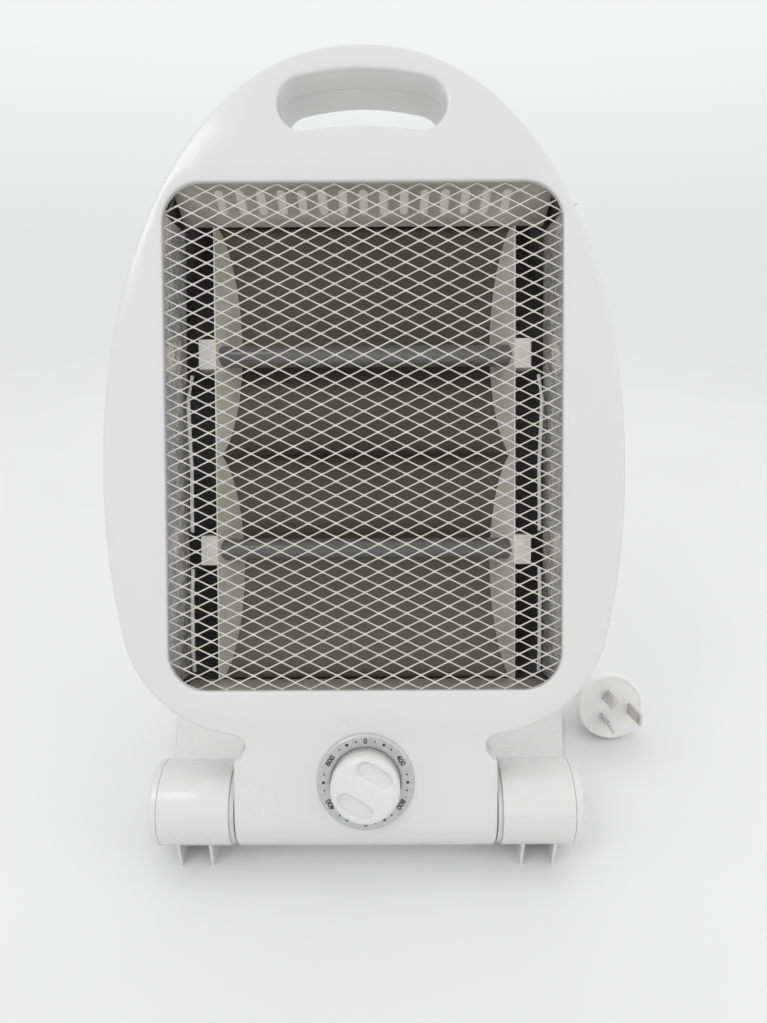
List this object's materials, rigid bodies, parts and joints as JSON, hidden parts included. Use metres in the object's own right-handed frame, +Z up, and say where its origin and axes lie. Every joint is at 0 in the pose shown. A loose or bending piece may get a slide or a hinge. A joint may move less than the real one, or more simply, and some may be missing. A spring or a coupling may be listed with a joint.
{
  "type": "tilting quartz tube heater",
  "caption": "Portable radiant quartz heater with an egg-shaped white body, wire grille, curved reflector, rotary switch, carrying handle and a stand that folds flat.",
  "frame": {"origin": "on the floor, under the middle of the heater's own box in the plan view, without its free lead", "axes": "+Z up from the floor, the front with the grille faces -Y, +X to the right seen from the front"},
  "size_m": [0.275, 0.2559, 0.3531],
  "materials": {
    "white_plastic": "satin",
    "grey_plastic": "satin",
    "silver_plastic": "satin",
    "dark_plastic": "matte",
    "grille_paint": "satin",
    "mirror_sheet": "polished",
    "quartz": "polished",
    "heating_wire": "matte",
    "ceramic": "matte",
    "steel": "satin",
    "rubber": "matte",
    "white_lead": "satin",
    "brass": "satin"
  },
  "bodies": {
    "stand": {"stand_frame": "white_plastic", "knuckle_cap_left": "white_plastic", "knuckle_cap_right": "white_plastic", "hinge_collar_left": "grey_plastic", "hinge_collar_right": "grey_plastic", "hinge_pin_left": "steel", "hinge_pin_right": "steel", "hinge_nuts": "steel", "spring_washers": "steel", "rubber_feet": "rubber", "stand_lead": "white_lead", "lead_clips": "grey_plastic", "cord_gland": "white_lead", "lead_to_coil": "white_lead", "lead_coil": "white_lead", "coil_tie": "dark_plastic", "lead_to_plug": "white_lead", "plug_tail": "white_lead", "plug_body": "white_lead", "plug_pins": "brass"},
    "heater_body": {"front_shell": "white_plastic", "rear_shell": "white_plastic", "grille_mesh": "grille_paint", "grille_rim": "grille_paint", "reflector": "mirror_sheet", "top_flange": "mirror_sheet", "bottom_flange": "mirror_sheet", "side_plate_left": "mirror_sheet", "side_plate_right": "mirror_sheet", "trough_end_left": "mirror_sheet", "trough_end_right": "mirror_sheet", "quartz_tube_upper": "quartz", "quartz_tube_lower": "quartz", "heating_coil_upper": "heating_wire", "heating_coil_lower": "heating_wire", "ceramic_cap_upper_left": "ceramic", "ceramic_cap_upper_right": "ceramic", "ceramic_cap_lower_left": "ceramic", "ceramic_cap_lower_right": "ceramic", "cap_screws": "steel", "tube_leads": "white_lead", "thermal_cutout": "steel", "terminal_block": "ceramic", "tip_over_switch": "dark_plastic", "rotary_switch": "dark_plastic", "switch_nut": "steel", "dial_ring": "silver_plastic", "barrel_bearing_left": "grey_plastic", "barrel_bearing_right": "grey_plastic", "case_screws": "steel", "reflector_posts": "steel", "reflector_screws": "steel"},
    "knob": {"knob": "white_plastic", "switch_shaft": "steel"}
  },
  "joints": [
    {"name": "tilt_hinge", "type": "hinge", "parent": "stand", "child": "heater_body", "pos_m": [0, -0.0465, 0.0276], "axis": [1, 0, 0], "range_deg": [-53.5, 18.5]},
    {"name": "knob_turn", "type": "hinge", "parent": "heater_body", "child": "knob", "pos_m": [0, -0.05918, 0.04956], "axis": [0, -0.9483, 0.3173], "continuous": true}
  ]
}
